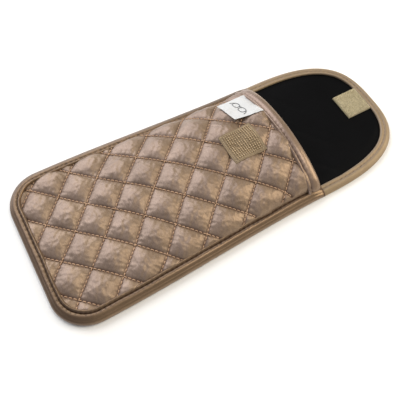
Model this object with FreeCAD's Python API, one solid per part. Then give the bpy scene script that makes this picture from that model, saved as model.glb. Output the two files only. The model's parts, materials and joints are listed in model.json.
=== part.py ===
import FreeCAD, Part

import math
import os

# Soft quilted pouch for glasses, lying on its back with its flap open flat.
# X runs across the pouch, Y from the closed end to the flap's tip, Z up from the table.
# Every piece is a layer or a tape that was cut, laid in a stack and sewn at the edge.

# Outline, millimetres
WIDTH = 100.0                # closed end, over the binding
MOUTH_TAPER = 0.105          # share of the width lost between closed end and mouth
BODY_LENGTH = 163.0          # closed end to the mouth
FLAP_LENGTH = 68.0           # mouth to the flap's tip
CORNER_RADIUS = 21.0         # closed end corners
FLAP_POWER = 2.9             # superellipse power of the flap's outline

# Stack of layers at the sewn edge
TAPE = 0.7                   # folded satin tape
SHELL = 0.5                  # quilted satin
PADDING = 1.5                # wadding, pressed flat at the edge
LINING = 0.4                 # smooth black cloth

# Edges
BINDING_WIDTH = 6.0
MOUTH_BINDING_WIDTH = 8.0
DOME_HEIGHT = 16.5           # rise of the front panel at the mouth
DOME_POWER = 0.6             # 1 is a parabola across the pouch, less is fuller
DOME_GROWTH = 0.9            # how the rise grows from closed end to mouth
DOME_ROOT = 0.4              # the dome's edge starts this far under the flange

# Folds of the flap
FOLD_BEYOND_MOUTH = 1.5      # first fold line, just past the mouth
SHOULDER_LENGTH = 21.3       # first fold line to second
FOLD_GAP = 0.3               # slit between the bodies along a fold

# Closure and label
PATCH_SIDE = 20.0            # 20 mm hook-and-loop tape
HOOK_THICKNESS = 1.2
LOOP_THICKNESS = 1.5
HOOK_CENTRE_FROM_MOUTH = 29.5
LOOP_START_FROM_MOUTH = 45.5
LABEL_WIDTH = 19.0
LABEL_LENGTH = 17.5
LABEL_THICKNESS = 0.4
LABEL_CENTRE_X = -23.0

# Seam thread
STITCH_LENGTH = 2.0
STITCH_PITCH = 3.1
STITCH_WIDTH = 0.6
STITCH_HEIGHT = 0.3
SEAM_INSET = 4.7             # seam line, measured in from the bound edge
PATCH_SEAM_INSET = 1.8

# Heights that follow from the stack
BACK_SHELL_Z = TAPE
BACK_PADDING_Z = BACK_SHELL_Z + SHELL
BACK_LINING_Z = BACK_PADDING_Z + PADDING
BACK_TOP_Z = BACK_LINING_Z + LINING
FRONT_PADDING_Z = BACK_TOP_Z + LINING
FRONT_SHELL_Z = FRONT_PADDING_Z + PADDING
FRONT_TOP_Z = FRONT_SHELL_Z + SHELL
BODY_EDGE_TOP_Z = FRONT_TOP_Z + TAPE
FLAP_EDGE_TOP_Z = BACK_TOP_Z + TAPE

# Stations along the pouch
TOTAL_LENGTH = BODY_LENGTH + FLAP_LENGTH
END_Y = -TOTAL_LENGTH / 2
TIP_Y = TOTAL_LENGTH / 2
MOUTH_Y = END_Y + BODY_LENGTH
FOLD_Y = MOUTH_Y + FOLD_BEYOND_MOUTH
SHOULDER_Y = FOLD_Y + SHOULDER_LENGTH

FAR = 400.0                  # larger than anything here, for cutting boxes


def half_width(from_end, inset):
    """Half of the body's width at a distance from the closed end; the taper starts past the corners."""
    along = (from_end - CORNER_RADIUS) / (BODY_LENGTH - CORNER_RADIUS)
    along = min(max(along, 0.0), 1.0)
    width = WIDTH / 2 * (1 - MOUTH_TAPER * along * along * (3 - 2 * along))
    if from_end < CORNER_RADIUS:
        radius = CORNER_RADIUS - inset
        rise = CORNER_RADIUS - from_end
        return WIDTH / 2 - CORNER_RADIUS + math.sqrt(max(radius * radius - rise * rise, 0.0))
    return width - inset


def flap_point(angle, inset, z):
    """Point of the flap's superellipse outline; angle 0 is the +X side, 180 the -X side."""
    across = half_width(BODY_LENGTH, inset)
    along = FLAP_LENGTH - inset
    cosine = math.cos(math.radians(angle))
    sine = math.sin(math.radians(angle))
    x = math.copysign(across * abs(cosine) ** (2 / FLAP_POWER), cosine)
    return FreeCAD.Vector(x, MOUTH_Y + along * abs(sine) ** (2 / FLAP_POWER), z)


def side_point(side, from_end, inset, z):
    return FreeCAD.Vector(side * half_width(from_end, inset), END_Y + from_end, z)


def smooth_edge(points, start_tangent, end_tangent):
    curve = Part.BSplineCurve()
    curve.interpolate(Points=points, InitialTangent=start_tangent, FinalTangent=end_tangent)
    return curve.toShape()


def corner_edge(side, inset, z):
    """Quarter circle at a closed end corner, from the end to the side."""
    radius = CORNER_RADIUS - inset
    centre = FreeCAD.Vector(side * (WIDTH / 2 - CORNER_RADIUS), END_Y + CORNER_RADIUS, 0)
    points = []
    for angle in (270, 315, 360):
        turn = math.radians(angle)
        x = centre.x + side * radius * math.cos(turn)
        points.append(FreeCAD.Vector(x, centre.y + radius * math.sin(turn), z))
    return Part.Arc(*points).toShape(), points


def outline_prism(inset, bottom, top):
    """The pouch's whole outline, drawn in by inset, between two heights."""
    forward = FreeCAD.Vector(0, 1, 0)
    right_arc, right = corner_edge(1, inset, bottom)
    left_arc, left = corner_edge(-1, inset, bottom)
    stations = [CORNER_RADIUS + (BODY_LENGTH - CORNER_RADIUS) * i / 8 for i in range(9)]
    right_side = [side_point(1, s, inset, bottom) for s in stations]
    left_side = [side_point(-1, s, inset, bottom) for s in stations]
    flap = [flap_point(180.0 * i / 36, inset, bottom) for i in range(37)]
    flap[0] = right_side[-1]
    flap[-1] = left_side[-1]
    edges = [
        Part.LineSegment(left[0], right[0]).toShape(),
        right_arc,
        smooth_edge(right_side, forward, forward),
        smooth_edge(flap, forward, -forward),
        smooth_edge(left_side, forward, forward),
        left_arc,
    ]
    wire = Part.Wire(Part.__sortEdges__(edges))
    return Part.Face(wire).extrude(FreeCAD.Vector(0, 0, top - bottom))


def block(x0, x1, y0, y1, z0, z1):
    return Part.makeBox(x1 - x0, y1 - y0, z1 - z0, FreeCAD.Vector(x0, y0, z0))


def between(shape, y0, y1):
    """The stretch of a shape between two stations along the pouch."""
    return shape.common(block(-FAR, FAR, y0, y1, -FAR, FAR))


def under_front(level, inset, lift=0.0):
    """Everything under one face of the front panel: a flat flange with the dome on it."""
    slab = between(outline_prism(TAPE, -10.0, level), -FAR, MOUTH_Y + 20)
    first = inset + 2.0
    last = BODY_LENGTH + 6.0
    rows = []
    for i in range(17):
        from_end = first + (last - first) * i / 16
        wide = half_width(min(from_end, BODY_LENGTH), inset)
        growth = ((from_end - inset) / (BODY_LENGTH - inset)) ** DOME_GROWTH
        row = []
        for j in range(21):
            turn = math.radians(-90 + 9 * j)
            rise = math.cos(turn) ** (2 * DOME_POWER) if abs(j - 10) < 10 else 0.0
            z = level + lift - DOME_ROOT + (DOME_HEIGHT + DOME_ROOT) * growth * rise
            row.append(FreeCAD.Vector(wide * math.sin(turn), END_Y + from_end, z))
        rows.append(row)
    surface = Part.BSplineSurface()
    surface.interpolate(rows)
    dome = surface.toShape().extrude(FreeCAD.Vector(0, 0, -60))
    dome = dome.common(block(-FAR, FAR, -FAR, FAR, -10.0, FAR))
    return slab.fuse(dome)


def edge_tape(inner_inset, core_top, top, y0, y1):
    """Satin tape folded over a sewn edge: a channel round the layers inside it."""
    outer = outline_prism(0, 0, top)
    core = outline_prism(TAPE, TAPE, core_top)
    window = outline_prism(inner_inset, -1, top + 1)
    return between(outer.cut(core).cut(window), y0, y1)


def stitch(x, y, z, heading):
    """One stitch of seam thread lying on a flat face."""
    thread = block(-STITCH_LENGTH / 2, STITCH_LENGTH / 2, -STITCH_WIDTH / 2, STITCH_WIDTH / 2,
                   0, STITCH_HEIGHT)
    thread.rotate(FreeCAD.Vector(), FreeCAD.Vector(0, 0, 1), math.degrees(heading))
    thread.translate(FreeCAD.Vector(x, y, z))
    return thread


def seam_path():
    """Points along the seam line of the bound edge, from the -X mouth corner round the end."""
    path = []
    for i in range(60):
        path.append(side_point(-1, BODY_LENGTH - (BODY_LENGTH - CORNER_RADIUS) * i / 60, SEAM_INSET, 0))
    radius = CORNER_RADIUS - SEAM_INSET
    for side, turns in ((-1, range(180, 271, 6)), (1, range(270, 361, 6))):
        for angle in turns:
            turn = math.radians(angle)
            x = side * (WIDTH / 2 - CORNER_RADIUS) + radius * math.cos(turn)
            path.append(FreeCAD.Vector(x, END_Y + CORNER_RADIUS + radius * math.sin(turn), 0))
    for i in range(1, 61):
        path.append(side_point(1, CORNER_RADIUS + (BODY_LENGTH - CORNER_RADIUS) * i / 60, SEAM_INSET, 0))
    return path


def flap_seam_path():
    return [flap_point(180.0 * i / 120, SEAM_INSET, 0) for i in range(121)]


def stitches_along(path, z, y0, y1):
    """Stitches at an even pitch along a path, kept where they lie between two stations."""
    threads = []
    travelled = 0.0
    due = STITCH_PITCH / 2
    for a, b in zip(path, path[1:]):
        step = b.sub(a).Length
        while step > 0 and due <= travelled + step:
            at = a.add(b.sub(a).multiply((due - travelled) / step))
            if y0 + STITCH_LENGTH < at.y < y1 - STITCH_LENGTH:
                threads.append(stitch(at.x, at.y, z, math.atan2(b.y - a.y, b.x - a.x)))
            due += STITCH_PITCH
        travelled += step
    return Part.makeCompound(threads)


def square_seam(x0, x1, y0, y1):
    """Centres and directions of the stitches round a rectangle."""
    found = []
    for start, end, fixed, along_x in ((x0, x1, y0, True), (x0, x1, y1, True),
                                       (y0, y1, x0, False), (y0, y1, x1, False)):
        count = int((end - start) / STITCH_PITCH)
        first = (start + end) / 2 - (count - 1) * STITCH_PITCH / 2
        for i in range(count):
            place = first + i * STITCH_PITCH
            found.append((place, fixed, 0.0) if along_x else (fixed, place, math.pi / 2))
    return found


def export(name, shape):
    shape.exportStep("parts/" + name + ".step")
    print(name, len(shape.Solids), round(shape.Volume, 1), shape.isValid())


def flat_layer(y0, y1, bottom, top):
    return between(outline_prism(TAPE, bottom, top), y0, y1)


os.makedirs("parts", exist_ok=True)

BODY_BACK_END = FOLD_Y - FOLD_GAP / 2
ROOT_START = FOLD_Y + FOLD_GAP / 2
ROOT_END = SHOULDER_Y - FOLD_GAP / 2
TIP_START = SHOULDER_Y + FOLD_GAP / 2

# Back panel, then the same three layers in the flap's two stretches
STRETCHES = (
    ("back", END_Y, BODY_BACK_END),
    ("flap_root", ROOT_START, ROOT_END),
    ("flap", TIP_START, TIP_Y),
)
for stretch, y0, y1 in STRETCHES:
    export(stretch + "_shell", flat_layer(y0, y1, BACK_SHELL_Z, BACK_PADDING_Z))
    export(stretch + "_padding", flat_layer(y0, y1, BACK_PADDING_Z, BACK_LINING_Z))
    export(stretch + "_lining", flat_layer(y0, y1, BACK_LINING_Z, BACK_TOP_Z))

# Front panel: lining, wadding and quilted shell, each between two domed faces
faces = [
    under_front(BACK_TOP_Z, BINDING_WIDTH + SHELL + PADDING + LINING),
    under_front(FRONT_PADDING_Z, BINDING_WIDTH + SHELL + PADDING),
    under_front(FRONT_SHELL_Z, BINDING_WIDTH + SHELL),
    under_front(FRONT_TOP_Z, BINDING_WIDTH),
]
PANEL_END = MOUTH_Y - TAPE
for name, lower, upper in (("front_lining", 0, 1), ("front_padding", 1, 2), ("front_shell", 2, 3)):
    export(name, between(faces[upper].cut(faces[lower]), END_Y, PANEL_END))

# Mouth binding: tape folded over the front panel's free edge, between the side bindings
tape_top = under_front(FRONT_TOP_Z + TAPE, BINDING_WIDTH, 0.0)
tape_under = under_front(BACK_TOP_Z, BINDING_WIDTH + SHELL + PADDING + LINING + TAPE, -TAPE)
tape = between(tape_top.cut(tape_under), MOUTH_Y - MOUTH_BINDING_WIDTH, MOUTH_Y)
tape = tape.cut(between(faces[3].cut(faces[0]), END_Y, PANEL_END))
tape = tape.common(outline_prism(BINDING_WIDTH, BACK_TOP_Z, 60))
export("mouth_binding", tape)

# Side binding round the closed end and both sides, and the flap's binding in two stretches
export("side_binding", edge_tape(BINDING_WIDTH, FRONT_TOP_Z, BODY_EDGE_TOP_Z, END_Y - 1, BODY_BACK_END))
export("flap_root_binding", edge_tape(BINDING_WIDTH, BACK_TOP_Z, FLAP_EDGE_TOP_Z, ROOT_START, ROOT_END))
export("flap_binding", edge_tape(BINDING_WIDTH, BACK_TOP_Z, FLAP_EDGE_TOP_Z, TIP_START, TIP_Y + 1))

# Hook patch on the front, and its seam
HOOK_Y = MOUTH_Y - HOOK_CENTRE_FROM_MOUTH
HALF = PATCH_SIDE / 2
hook_top = under_front(FRONT_TOP_Z + HOOK_THICKNESS, BINDING_WIDTH)
square = block(-HALF, HALF, HOOK_Y - HALF, HOOK_Y + HALF, 0, FAR)
export("hook_patch", hook_top.cut(faces[3]).common(square))
thread_top = under_front(FRONT_TOP_Z + HOOK_THICKNESS + STITCH_HEIGHT, BINDING_WIDTH)
thread_layer = thread_top.cut(hook_top)
seam = HALF - PATCH_SEAM_INSET
footprints = []
for x, y, heading in square_seam(-seam, seam, HOOK_Y - seam, HOOK_Y + seam):
    mark = block(-STITCH_LENGTH / 2, STITCH_LENGTH / 2, -STITCH_WIDTH / 2, STITCH_WIDTH / 2, 0, FAR)
    mark.rotate(FreeCAD.Vector(), FreeCAD.Vector(0, 0, 1), math.degrees(heading))
    mark.translate(FreeCAD.Vector(x, y, 0))
    footprints.append(mark)
export("hook_patch_stitching", thread_layer.common(Part.makeCompound(footprints)))

# Loop patch on the flap's lining, its outer edge tucked under the flap's binding
LOOP_Y = MOUTH_Y + LOOP_START_FROM_MOUTH
loop = block(-HALF, HALF, LOOP_Y, LOOP_Y + PATCH_SIDE, BACK_TOP_Z, BACK_TOP_Z + LOOP_THICKNESS)
loop = loop.common(outline_prism(BINDING_WIDTH, 0, FAR))
export("loop_patch", loop)
loop_end = LOOP_Y + 2 * seam - (PATCH_SIDE - loop.BoundBox.YLength)
loop_threads = []
for x, y, heading in square_seam(-seam, seam, LOOP_Y + PATCH_SEAM_INSET, loop_end):
    loop_threads.append(stitch(x, y, BACK_TOP_Z + LOOP_THICKNESS, heading))
export("loop_patch_stitching", Part.makeCompound(loop_threads))

# Sewn-in label, hanging from the mouth binding over the front panel
label_top = under_front(FRONT_TOP_Z + LABEL_THICKNESS, BINDING_WIDTH)
label_end = MOUTH_Y - MOUTH_BINDING_WIDTH
footprint = block(LABEL_CENTRE_X - LABEL_WIDTH / 2, LABEL_CENTRE_X + LABEL_WIDTH / 2,
                  label_end - LABEL_LENGTH, label_end, 0, FAR)
export("label", label_top.cut(faces[3]).common(footprint))

# Seam thread of the bindings
export("side_stitching", stitches_along(seam_path(), BODY_EDGE_TOP_Z, END_Y, MOUTH_Y))
export("flap_root_stitching", stitches_along(flap_seam_path(), FLAP_EDGE_TOP_Z, ROOT_START, ROOT_END))
export("flap_stitching", stitches_along(flap_seam_path(), FLAP_EDGE_TOP_Z, TIP_START, TIP_Y))
mouth_thread_top = under_front(FRONT_TOP_Z + TAPE + STITCH_HEIGHT, BINDING_WIDTH)
mouth_layer = mouth_thread_top.cut(tape_top)
mouth_seam_y = MOUTH_Y - MOUTH_BINDING_WIDTH + 2.0
reach = half_width(BODY_LENGTH, BINDING_WIDTH) - 4.0
marks = []
count = int(2 * reach / STITCH_PITCH)
for i in range(count):
    x = (i - (count - 1) / 2) * STITCH_PITCH
    marks.append(block(x - STITCH_LENGTH / 2, x + STITCH_LENGTH / 2,
                       mouth_seam_y - STITCH_WIDTH / 2, mouth_seam_y + STITCH_WIDTH / 2, 0, FAR))
export("mouth_stitching", mouth_layer.common(Part.makeCompound(marks)))
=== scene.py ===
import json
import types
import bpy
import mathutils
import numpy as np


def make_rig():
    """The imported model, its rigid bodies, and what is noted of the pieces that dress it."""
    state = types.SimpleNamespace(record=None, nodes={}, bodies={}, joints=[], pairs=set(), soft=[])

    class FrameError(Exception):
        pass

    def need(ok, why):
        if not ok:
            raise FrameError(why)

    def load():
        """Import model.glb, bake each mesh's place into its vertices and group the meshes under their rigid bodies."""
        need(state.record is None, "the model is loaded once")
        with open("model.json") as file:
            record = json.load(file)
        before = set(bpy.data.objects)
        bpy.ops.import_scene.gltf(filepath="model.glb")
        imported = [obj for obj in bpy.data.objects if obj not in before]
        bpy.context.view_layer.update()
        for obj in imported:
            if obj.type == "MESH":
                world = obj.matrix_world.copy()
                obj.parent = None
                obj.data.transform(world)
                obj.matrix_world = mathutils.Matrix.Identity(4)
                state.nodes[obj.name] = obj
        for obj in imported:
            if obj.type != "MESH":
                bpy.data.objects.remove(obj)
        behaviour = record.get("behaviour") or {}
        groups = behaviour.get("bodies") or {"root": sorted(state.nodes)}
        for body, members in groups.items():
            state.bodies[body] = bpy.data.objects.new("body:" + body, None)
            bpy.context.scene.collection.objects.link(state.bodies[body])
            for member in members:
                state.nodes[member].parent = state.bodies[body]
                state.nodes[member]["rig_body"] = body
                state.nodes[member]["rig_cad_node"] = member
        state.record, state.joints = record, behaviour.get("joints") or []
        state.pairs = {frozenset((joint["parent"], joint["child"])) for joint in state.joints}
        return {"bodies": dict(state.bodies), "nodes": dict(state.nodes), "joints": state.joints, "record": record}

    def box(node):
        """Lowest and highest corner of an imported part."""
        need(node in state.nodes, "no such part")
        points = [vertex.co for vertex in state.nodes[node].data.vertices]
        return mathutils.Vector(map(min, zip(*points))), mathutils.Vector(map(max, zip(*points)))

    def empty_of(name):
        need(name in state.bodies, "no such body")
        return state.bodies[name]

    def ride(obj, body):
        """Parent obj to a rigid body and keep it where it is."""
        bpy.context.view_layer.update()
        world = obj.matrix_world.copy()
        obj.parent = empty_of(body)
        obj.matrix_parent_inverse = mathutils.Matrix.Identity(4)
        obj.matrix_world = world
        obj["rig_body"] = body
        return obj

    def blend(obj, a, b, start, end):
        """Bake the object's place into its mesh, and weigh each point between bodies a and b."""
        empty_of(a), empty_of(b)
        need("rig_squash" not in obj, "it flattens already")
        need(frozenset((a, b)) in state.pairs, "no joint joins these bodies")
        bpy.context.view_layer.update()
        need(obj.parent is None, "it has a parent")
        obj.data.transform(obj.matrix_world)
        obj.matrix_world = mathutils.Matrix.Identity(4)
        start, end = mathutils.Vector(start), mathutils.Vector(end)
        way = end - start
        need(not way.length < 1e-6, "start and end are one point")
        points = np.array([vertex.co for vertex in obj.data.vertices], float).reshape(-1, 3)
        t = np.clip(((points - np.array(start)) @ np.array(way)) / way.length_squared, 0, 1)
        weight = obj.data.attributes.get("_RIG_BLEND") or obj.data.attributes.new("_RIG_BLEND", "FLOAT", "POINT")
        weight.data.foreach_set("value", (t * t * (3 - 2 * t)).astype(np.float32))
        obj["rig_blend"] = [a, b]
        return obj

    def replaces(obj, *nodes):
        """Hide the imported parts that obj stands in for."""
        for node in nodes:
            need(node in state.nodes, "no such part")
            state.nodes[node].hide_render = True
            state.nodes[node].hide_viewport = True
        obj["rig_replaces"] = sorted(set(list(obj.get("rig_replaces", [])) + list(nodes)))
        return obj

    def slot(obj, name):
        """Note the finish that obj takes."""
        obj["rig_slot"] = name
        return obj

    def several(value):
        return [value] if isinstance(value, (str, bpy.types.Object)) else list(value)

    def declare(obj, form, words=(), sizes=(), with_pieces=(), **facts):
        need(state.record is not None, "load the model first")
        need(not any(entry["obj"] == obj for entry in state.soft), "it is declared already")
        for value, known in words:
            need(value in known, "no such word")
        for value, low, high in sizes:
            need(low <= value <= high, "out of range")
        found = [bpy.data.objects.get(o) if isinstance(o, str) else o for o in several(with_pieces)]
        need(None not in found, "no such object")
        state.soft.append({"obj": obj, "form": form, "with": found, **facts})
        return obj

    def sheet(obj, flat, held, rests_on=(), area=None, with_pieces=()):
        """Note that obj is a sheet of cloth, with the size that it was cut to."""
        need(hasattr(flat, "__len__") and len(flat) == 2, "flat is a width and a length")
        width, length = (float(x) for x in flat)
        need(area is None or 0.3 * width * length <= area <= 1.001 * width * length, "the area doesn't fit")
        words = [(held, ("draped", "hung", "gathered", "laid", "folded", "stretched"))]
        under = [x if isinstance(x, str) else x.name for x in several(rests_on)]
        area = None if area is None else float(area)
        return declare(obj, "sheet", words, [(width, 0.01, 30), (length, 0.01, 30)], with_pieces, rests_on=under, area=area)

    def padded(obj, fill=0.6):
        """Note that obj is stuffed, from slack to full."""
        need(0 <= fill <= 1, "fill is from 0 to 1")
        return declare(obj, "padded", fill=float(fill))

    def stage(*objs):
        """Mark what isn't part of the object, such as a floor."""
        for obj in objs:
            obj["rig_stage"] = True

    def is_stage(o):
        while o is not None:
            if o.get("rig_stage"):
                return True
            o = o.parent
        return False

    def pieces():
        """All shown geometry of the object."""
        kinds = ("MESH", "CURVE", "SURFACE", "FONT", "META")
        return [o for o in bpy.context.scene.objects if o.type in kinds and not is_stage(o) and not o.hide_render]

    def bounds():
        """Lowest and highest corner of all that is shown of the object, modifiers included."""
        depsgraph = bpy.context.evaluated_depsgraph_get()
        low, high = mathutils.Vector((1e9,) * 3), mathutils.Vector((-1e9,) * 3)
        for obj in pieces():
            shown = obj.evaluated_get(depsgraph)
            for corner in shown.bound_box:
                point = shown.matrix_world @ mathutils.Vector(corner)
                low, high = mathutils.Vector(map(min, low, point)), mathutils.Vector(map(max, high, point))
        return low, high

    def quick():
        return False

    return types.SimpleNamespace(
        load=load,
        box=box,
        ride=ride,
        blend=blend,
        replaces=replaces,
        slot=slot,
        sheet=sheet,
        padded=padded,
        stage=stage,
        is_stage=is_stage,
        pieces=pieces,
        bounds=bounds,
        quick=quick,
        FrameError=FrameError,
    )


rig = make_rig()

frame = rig.load()
cad_low, cad_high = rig.bounds()

import json
import math

import bmesh
import bpy
import numpy as np
from mathutils import Vector
from mathutils.bvhtree import BVHTree

# --- View -------------------------------------------------------------------
# The pouch lies on its back on a pale sheet, seen from its lower side and high up.
# A broad cool light comes over the closed end, and a warmer one over the flap.


def placed(name, data):
    thing = bpy.data.objects.new(name, data)
    bpy.context.scene.collection.objects.link(thing)
    return thing


def mesh_object(name, points, edges=(), faces=()):
    mesh = bpy.data.meshes.new(name)
    mesh.from_pydata([tuple(p) for p in points], list(edges), [tuple(f) for f in faces])
    return placed(name, mesh)


def drop(thing):
    mesh = thing.data
    bpy.data.objects.remove(thing)
    bpy.data.meshes.remove(mesh)


aim = Vector((0.0114, -0.0161, 0.0))
azimuth, elevation = math.radians(61.0), math.radians(61.83)
distance = 0.3215
back = Vector((math.sin(azimuth) * math.cos(elevation), -math.cos(azimuth) * math.cos(elevation),
               math.sin(elevation)))
camera = placed("camera", bpy.data.cameras.new("camera"))
camera.data.lens = 49.5
camera.data.clip_start = 0.01
camera.location = aim + back * distance
camera.rotation_mode = "QUATERNION"
camera.rotation_quaternion = (-back).to_track_quat("-Z", "Y")
bpy.context.scene.camera = camera
bpy.context.scene.view_settings.view_transform = "Standard"

for name, spot, size, power, colour in (
    ("window", (-0.75, -0.22, 0.56), 1.10, 11.5, (0.97, 0.98, 1.0)),
    ("lamp", (0.30, 0.76, 0.44), 0.60, 5.0, (1.0, 0.90, 0.74)),
    ("overhead", (0.20, 0.22, 0.95), 0.35, 2.8, (1.0, 0.94, 0.84)),
):
    light = placed(name, bpy.data.lights.new(name, "AREA"))
    light.data.shape = "SQUARE"
    light.data.size = size
    light.data.energy = power
    light.data.color = colour
    light.location = spot
    light.rotation_mode = "QUATERNION"
    light.rotation_quaternion = (aim - Vector(spot)).to_track_quat("-Z", "Y")
world = bpy.data.worlds.new("studio")
world.use_nodes = True
sky = world.node_tree.nodes["Background"].inputs
sky["Color"].default_value = (1.0, 1.0, 1.0, 1.0)
sky["Strength"].default_value = 0.36
bpy.context.scene.world = world

table_top = mesh_object("table_top", [(-8, -8, 0), (8, -8, 0), (8, 8, 0), (-8, 8, 0)],
                        faces=[(0, 1, 2, 3)])
table_top.location.z = -0.0002
paper = bpy.data.materials.new("paper")
paper.use_nodes = True
finish = paper.node_tree.nodes["Principled BSDF"].inputs
finish["Base Color"].default_value = (0.93, 0.93, 0.93, 1)
finish["Roughness"].default_value = 0.9
table_top.data.materials.append(paper)
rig.stage(table_top)

# --- Front panel ------------------------------------------------------------
# Taupe bronze polyester satin over wadding, lock-stitched in diamonds about an inch across
# and domed over the pocket. It is tucked under the tapes on all four sides. The satin
# shines in soft patches, and a painted sheen makes it greyer where it faces the closed end
# and golden beyond.

# Every layer is cut to one pattern: rounded corners at the closed end, sides that draw in
# towards the mouth, and a flap rounded like a tongue.
mm = 0.001
side_low, side_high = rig.box("side_binding")
end_y = side_low.y
half_end = side_high.x
mouth_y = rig.box("mouth_binding")[1].y
tip_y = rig.box("flap_binding")[1].y
half_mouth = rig.box("flap_root_binding")[1].x
body_length = mouth_y - end_y
flap_length = tip_y - mouth_y
corner = 21 * mm
tongue_power = 2.9
fold_y, shoulder_y = [joint["pos_m"][1] for joint in frame["joints"]]
halfway_y = (fold_y + shoulder_y) / 2


def side_x(y, inset=0.0):
    """Half the pouch's width at y, drawn in by inset: closed end, sides and flap."""
    along = y - end_y
    if along < corner:
        radius = corner - inset
        rise = np.clip(corner - along, -radius, radius)
        return half_end - corner + math.sqrt(radius * radius - rise * rise)
    if y <= mouth_y:
        share = (along - corner) / (body_length - corner)
        return half_end + (half_mouth - half_end) * share * share * (3 - 2 * share) - inset
    share = min((y - mouth_y) / (flap_length - inset), 1.0)
    return (half_mouth - inset) * (1 - share ** tongue_power) ** (1 / tongue_power)


def within(x, y, inset):
    return end_y + inset < y < tip_y - inset and abs(x) < side_x(y, inset)


def inner(side, mouth=-math.inf):
    """Tests whether a point is this far in from the sides, and from the mouth if given."""
    return lambda x, y: within(x, y, side) and y < mouth_y - mouth


def new_piece(name, points, faces, material, uv=None, sewn_and_painted_shade=None):
    """A closed mesh with faces turned out. The seam mask is painted shade, deepest in a seam."""
    piece = mesh_object(name, points, faces=faces)
    mesh = piece.data
    mesh.materials.append(material)
    mesh.polygons.foreach_set("use_smooth", [True] * len(mesh.polygons))
    mesh.set_sharp_from_angle(angle=math.radians(65))
    if uv is not None:
        layer = mesh.uv_layers.new(name="along")
        corners = np.zeros(len(mesh.loops), np.int32)
        mesh.loops.foreach_get("vertex_index", corners)
        layer.data.foreach_set("uv", np.array(uv, np.float32)[corners].ravel())
    if sewn_and_painted_shade is not None:
        attribute = mesh.attributes.new("sewn_and_painted_shade", "FLOAT", "POINT")
        attribute.data.foreach_set("value", np.array(sewn_and_painted_shade, np.float32))
    work = bmesh.new()
    work.from_mesh(mesh)
    bmesh.ops.recalc_face_normals(work, faces=work.faces)
    if work.calc_volume(signed=True) < 0:
        bmesh.ops.reverse_faces(work, faces=work.faces)
    work.to_mesh(mesh)
    work.free()
    return piece


def wire(tree, node, values):
    """Fills in a node's inputs: a socket is linked, and anything else is set."""
    for key, value in values.items():
        if isinstance(value, bpy.types.NodeSocket):
            tree.links.new(value, node.inputs[key])
        else:
            node.inputs[key].default_value = value


def add(tree, kind, values=None, **settings):
    node = tree.nodes.new(kind)
    for key, value in settings.items():
        setattr(node, key, value)
    wire(tree, node, values or {})
    return node


def calc(tree, operation, *values):
    return add(tree, "ShaderNodeMath", dict(enumerate(values)), operation=operation).outputs[0]


def noise(tree, vector, scale, roughness):
    return add(tree, "ShaderNodeTexNoise", {"Vector": vector, "Scale": scale, "Detail": 2.0,
                                            "Roughness": roughness}).outputs["Fac"]


def mixed(tree, share, first, second, **settings):
    """Two colours mixed by a share from 0 to 1."""
    return add(tree, "ShaderNodeMix", {0: share, 6: first, 7: second}, data_type="RGBA",
               **settings).outputs[2]


def new_group(name, kind, takes, gives):
    """A node group with these sockets, given as name and kind, and what it's given."""
    tree = bpy.data.node_groups.new(name, kind)
    for way, sockets in (("INPUT", takes), ("OUTPUT", gives)):
        for label, socket in sockets.items():
            tree.interface.new_socket(label, in_out=way, socket_type="NodeSocket" + socket)
    return tree, add(tree, "NodeGroupInput").outputs


def cloth_grain_group():
    """Weave and slub: a fine thread pattern and slow cloudy variation, in metres."""
    tree, given = new_group("cloth_grain", "ShaderNodeTree",
                            {"Thread Pitch": "Float", "Cloud Size": "Float", "Vector": "Vector"},
                            {"Weave": "Float", "Cloud": "Float", "Slub": "Float"})
    per_thread = calc(tree, "DIVIDE", 1.0, given["Thread Pitch"])
    per_cloud = calc(tree, "DIVIDE", 1.0, given["Cloud Size"])
    scaled = add(tree, "ShaderNodeVectorMath", {0: given["Vector"], "Scale": per_thread},
                 operation="SCALE").outputs[0]
    stretched = add(tree, "ShaderNodeVectorMath", {0: scaled, 1: (0.30, 1.0, 1.0)},
                    operation="MULTIPLY").outputs[0]
    add(tree, "NodeGroupOutput", {"Weave": noise(tree, scaled, 1.0, 0.6),
                                  "Cloud": noise(tree, given["Vector"], per_cloud, 0.5),
                                  "Slub": noise(tree, stretched, 0.55, 0.5)})
    return tree


cloth_grain = cloth_grain_group()


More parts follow.
